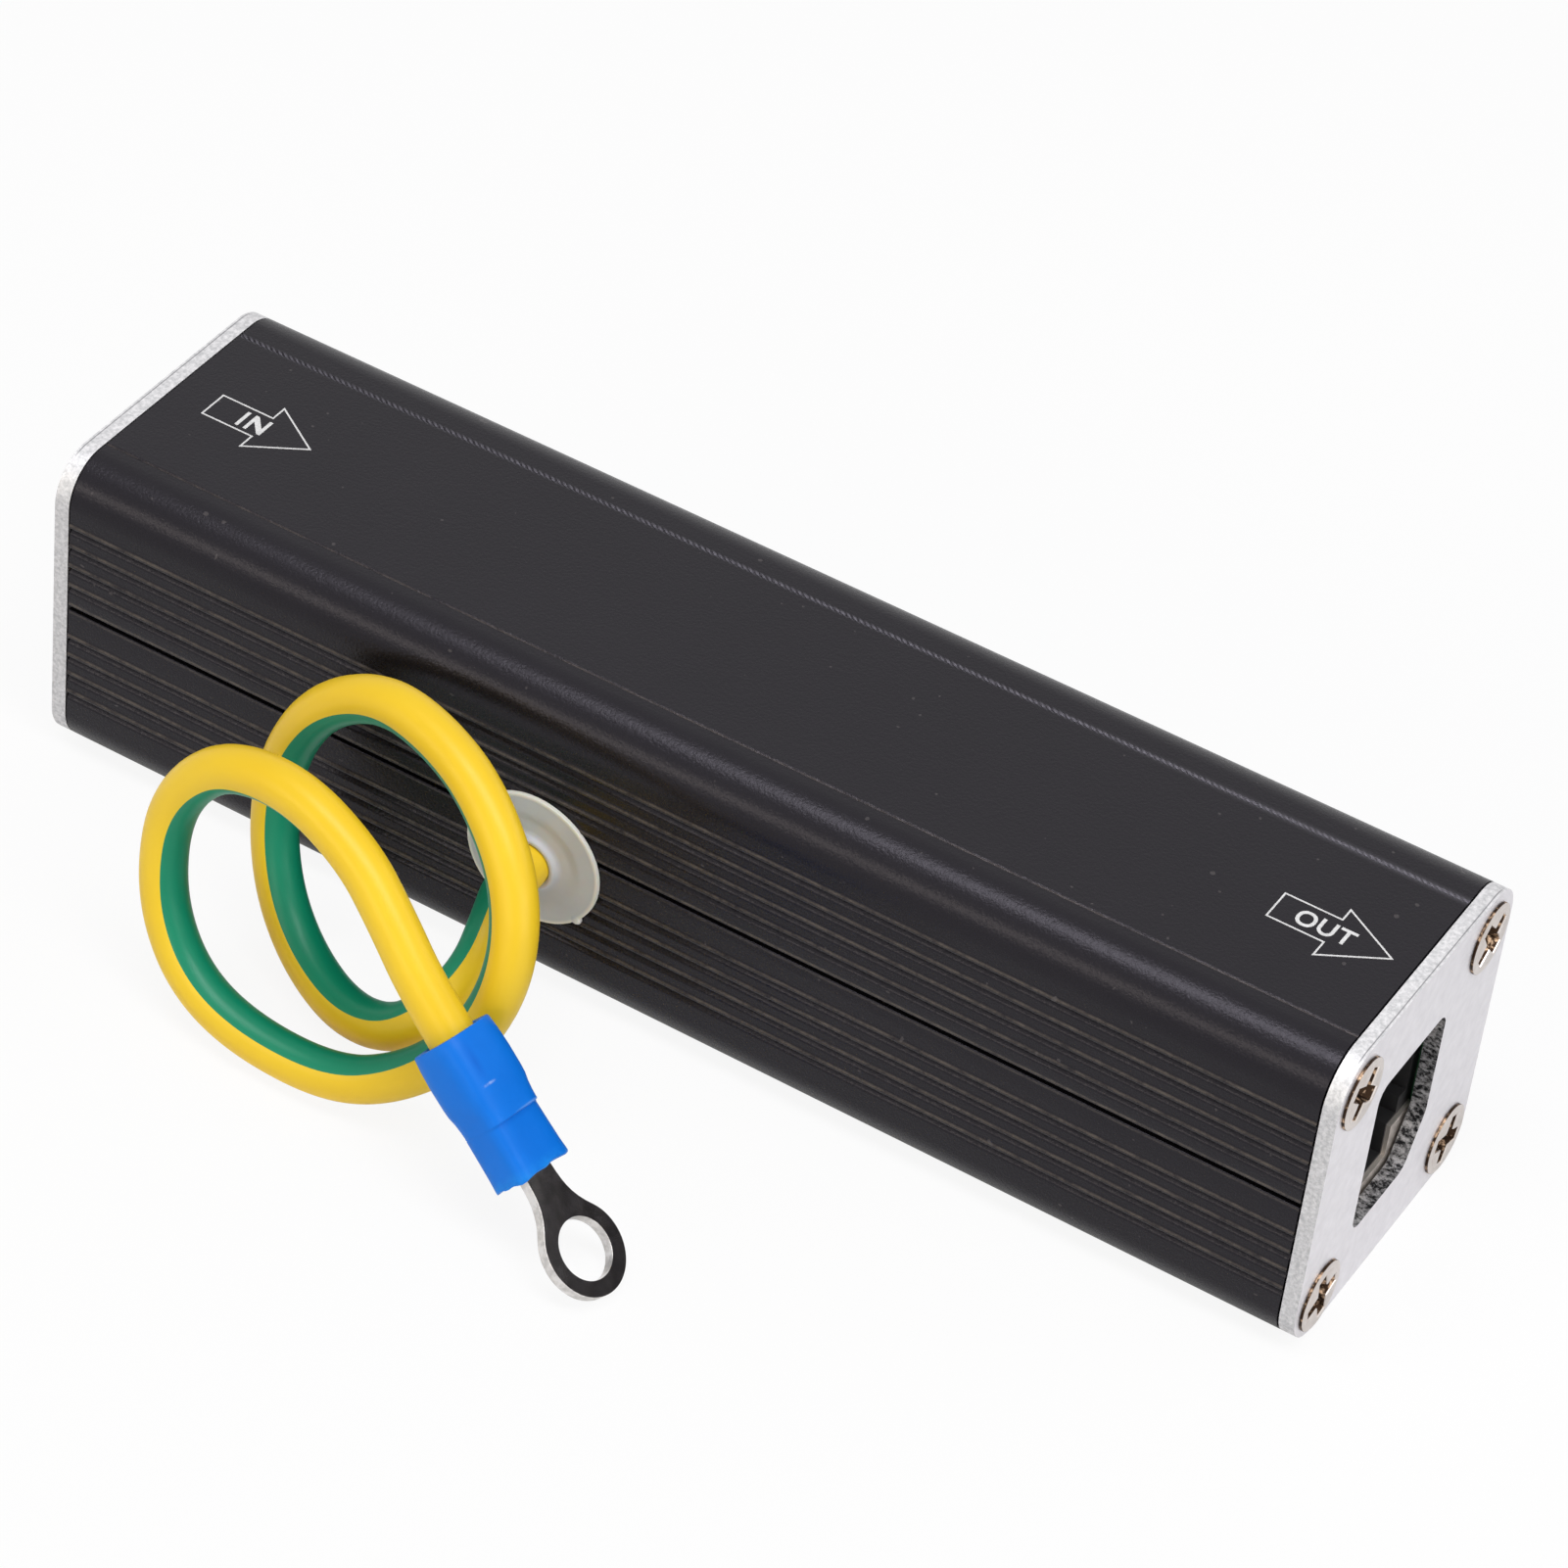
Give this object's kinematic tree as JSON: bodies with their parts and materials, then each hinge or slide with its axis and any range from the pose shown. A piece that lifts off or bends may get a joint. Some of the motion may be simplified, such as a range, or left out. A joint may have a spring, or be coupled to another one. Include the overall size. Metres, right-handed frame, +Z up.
{
  "type": "ethernet surge protector",
  "caption": "In-line ethernet surge protector: black reeded aluminium housing, silver end plates, a network socket at each end and a looped earth wire with a ring terminal.",
  "frame": {"origin": "middle of the housing's underside", "axes": "+X along the housing from the IN end to the OUT end, +Z up, and the earth wire leaves the -Y side"},
  "size_m": [0.103, 0.0509, 0.027],
  "materials": {
    "shell": "black anodised, satin, with fine reeds along both sides",
    "end_plate": "clear anodised sheet, satin, sheared edges",
    "screw": "nickel plated",
    "jack_plastic": "black moulded",
    "jack_shield": "tinned sheet",
    "contact": "gold plated",
    "board": "green solder mask",
    "gas_tube": "pale ceramic between metal rings",
    "moulded_package": "black moulded, tinned legs",
    "chip_resistor": "dark glaze between tinned caps",
    "grommet": "soft translucent moulding",
    "wire_insulation": "yellow with a green stripe",
    "copper": "tinned at the joint",
    "sleeve": "blue insulating sleeve",
    "terminal": "tinned, bright"
  },
  "bodies": {
    "root": {"lower_shell": "shell", "upper_shell": "shell", "end_plate_out": "end_plate", "end_plate_in": "end_plate", "end_screws_out": "screw", "end_screws_in": "screw", "circuit_board": "board", "gas_tube_1": "gas_tube", "gas_tube_2": "gas_tube", "gas_tube_3": "gas_tube", "gas_tube_4": "gas_tube", "diode_array_1": "moulded_package", "diode_array_2": "moulded_package", "series_resistors": "chip_resistor", "cable_grommet": "grommet", "earth_wire": "wire_insulation", "core_board_end": "copper", "terminal_sleeve": "sleeve", "ring_terminal": "terminal", "core_terminal_end": "copper", "jack_out_housing": "jack_plastic", "jack_out_shield": "jack_shield", "jack_out_contacts": "contact", "jack_in_housing": "jack_plastic", "jack_in_shield": "jack_shield", "jack_in_contacts": "contact"}
  },
  "joints": []
}
